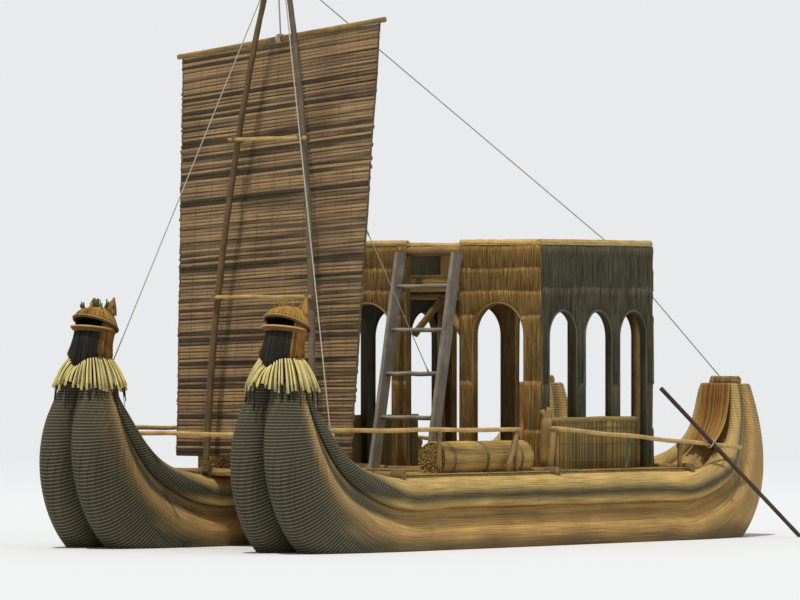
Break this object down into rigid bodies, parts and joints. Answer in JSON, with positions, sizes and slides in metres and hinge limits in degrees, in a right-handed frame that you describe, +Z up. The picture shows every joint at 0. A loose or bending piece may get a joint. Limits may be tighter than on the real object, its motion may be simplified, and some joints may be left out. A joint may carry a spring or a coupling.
{
  "type": "twin-hulled reed boat with mat sail and arched cabin",
  "caption": "A double-hulled boat of lashed reed bundles with animal-headed bows, an A-frame mast, a reed mat sail, an arched thatched cabin with an upper deck, and a steering oar.",
  "frame": {"origin": "on the waterline, midway between the two bows, at the heads' middle", "axes": "+X aft, +Y starboard, +Z up"},
  "size_m": [7.68, 4.0304, 5.9563],
  "materials": {
    "hull_reed": "bundled dry reeds, lashed",
    "mat_reed": "woven reed mat",
    "thatch_reed": "thatched reed tiers",
    "roll_reed": "rolled pale reeds",
    "head_reed": "bound dark reeds",
    "sail_reed": "split reed mat, weathered",
    "grey_plank": "weathered plank",
    "rope": "laid rope",
    "oar_wood": "dark worn wood",
    "pole_wood": "peeled pole"
  },
  "bodies": {
    "boat": {"corner_posts": "pole_wood", "deck_beams": "pole_wood", "deck_mat": "mat_reed", "front_rail": "pole_wood", "halyard": "rope", "ladder_rungs": "grey_plank", "ladder_stiles": "grey_plank", "lintels": "pole_wood", "mast_crosspiece": "pole_wood", "mast_rungs": "pole_wood", "port_aft_rail": "pole_wood", "port_aft_rail_posts": "pole_wood", "port_bench_roll": "roll_reed", "port_cabin_wall": "thatch_reed", "port_crown": "head_reed", "port_ears": "head_reed", "port_fore_rail": "pole_wood", "port_fore_rail_posts": "pole_wood", "port_front_panel": "thatch_reed", "port_inner_bundle": "hull_reed", "port_inner_gunwale": "hull_reed", "port_low_wall": "mat_reed", "port_mast_leg": "pole_wood", "port_neck": "head_reed", "port_outer_bundle": "hull_reed", "port_outer_gunwale": "hull_reed", "port_rear_panel": "thatch_reed", "port_ruff": "roll_reed", "port_stern_cap": "roll_reed", "port_stern_facing": "mat_reed", "starboard_aft_rail": "oar_wood", "starboard_aft_rail_posts": "oar_wood", "starboard_bench_roll": "roll_reed", "starboard_cabin_wall": "thatch_reed", "starboard_crown": "head_reed", "starboard_ears": "head_reed", "starboard_fore_rail": "oar_wood", "starboard_fore_rail_posts": "oar_wood", "starboard_front_panel": "thatch_reed", "starboard_inner_bundle": "hull_reed", "starboard_inner_gunwale": "hull_reed", "starboard_low_wall": "mat_reed", "starboard_mast_leg": "oar_wood", "starboard_neck": "head_reed", "starboard_outer_bundle": "hull_reed", "starboard_outer_gunwale": "hull_reed", "starboard_rear_panel": "thatch_reed", "starboard_ruff": "roll_reed", "starboard_stern_cap": "roll_reed", "starboard_stern_facing": "mat_reed", "upper_deck": "mat_reed", "upper_deck_joists": "pole_wood", "upper_deck_sill": "roll_reed", "wall_rims": "roll_reed"},
    "sail": {"sail_mat": "sail_reed", "yard": "pole_wood"},
    "oar": {"steering_oar": "oar_wood"}
  },
  "joints": [
    {"name": "sail_swing", "type": "hinge", "parent": "boat", "child": "sail", "pos_m": [1.35483, 0.09, 4.76335], "axis": [0.0645, 0, 0.9979], "range_deg": [-8, 8]},
    {"name": "oar_swing", "type": "hinge", "parent": "boat", "child": "oar", "pos_m": [5.80014, -1.66726, 0.93641], "axis": [0.0031, -0.9226, 0.3859], "range_deg": [-24, 8]}
  ]
}
